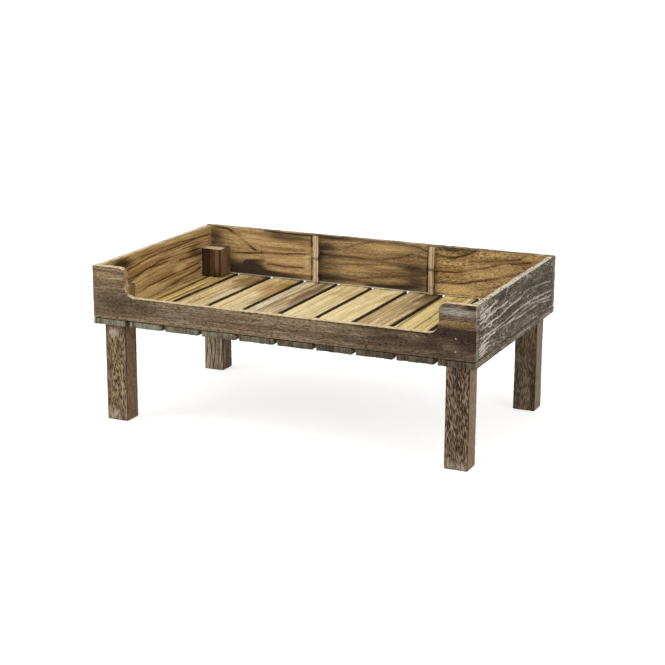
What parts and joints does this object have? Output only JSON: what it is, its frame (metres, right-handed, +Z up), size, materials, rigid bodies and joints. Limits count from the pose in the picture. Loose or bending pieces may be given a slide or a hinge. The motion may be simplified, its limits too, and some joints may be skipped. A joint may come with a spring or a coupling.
{
  "type": "crate display stand",
  "caption": "Low rustic wooden display stand: a slatted crate tray with plank walls and a drop front, raised on four legs.",
  "frame": {"origin": "on the floor, under the middle of the tray", "axes": "+X along the length, to the right as seen from the drop front; +Y to the back wall; +Z up"},
  "size_m": [0.6, 0.362, 0.2391],
  "materials": {
    "board_wood": "weathered grey-brown, wire brushed",
    "slat_wood": "torched and brushed, tan with dark grain",
    "leg_wood": "dark brown stain, brushed",
    "batten_wood": "tan, brushed",
    "fixing_steel": "bright wire"
  },
  "bodies": {
    "root": {"front_board": "board_wood", "left_side_board": "board_wood", "right_side_board": "board_wood", "back_panel_left": "board_wood", "back_panel_middle": "board_wood", "back_panel_right": "board_wood", "back_batten_left": "batten_wood", "back_batten_right": "batten_wood", "slat_01": "slat_wood", "slat_02": "slat_wood", "slat_03": "slat_wood", "slat_04": "slat_wood", "slat_05": "slat_wood", "slat_06": "slat_wood", "slat_07": "slat_wood", "slat_08": "slat_wood", "slat_09": "slat_wood", "slat_10": "slat_wood", "corner_block_front_left": "leg_wood", "leg_front_left": "leg_wood", "corner_block_front_right": "leg_wood", "leg_front_right": "leg_wood", "corner_block_rear_left": "leg_wood", "leg_rear_left": "leg_wood", "corner_block_rear_right": "leg_wood", "leg_rear_right": "leg_wood", "leg_dowel_screw_front_left": "fixing_steel", "leg_dowel_screw_front_right": "fixing_steel", "leg_dowel_screw_rear_left": "fixing_steel", "leg_dowel_screw_rear_right": "fixing_steel", "end_nail_front_left_lower": "fixing_steel", "end_nail_front_left_upper": "fixing_steel", "end_nail_front_right_lower": "fixing_steel", "end_nail_front_right_upper": "fixing_steel", "end_nail_rear_left_lower": "fixing_steel", "end_nail_rear_left_upper": "fixing_steel", "end_nail_rear_right_lower": "fixing_steel", "end_nail_rear_right_upper": "fixing_steel", "side_nail_front_left": "fixing_steel", "side_nail_front_right": "fixing_steel", "side_nail_rear_left": "fixing_steel", "side_nail_rear_right": "fixing_steel", "slat_nail_front_02": "fixing_steel", "slat_nail_front_03": "fixing_steel", "slat_nail_front_04": "fixing_steel", "slat_nail_front_05": "fixing_steel", "slat_nail_front_06": "fixing_steel", "slat_nail_front_07": "fixing_steel", "slat_nail_front_08": "fixing_steel", "slat_nail_front_09": "fixing_steel", "slat_nail_rear_02": "fixing_steel", "slat_nail_rear_03": "fixing_steel", "slat_nail_rear_04": "fixing_steel", "slat_nail_rear_05": "fixing_steel", "slat_nail_rear_06": "fixing_steel", "slat_nail_rear_07": "fixing_steel", "slat_nail_rear_08": "fixing_steel", "slat_nail_rear_09": "fixing_steel", "batten_pin_left": "fixing_steel", "batten_pin_right": "fixing_steel"}
  },
  "joints": []
}
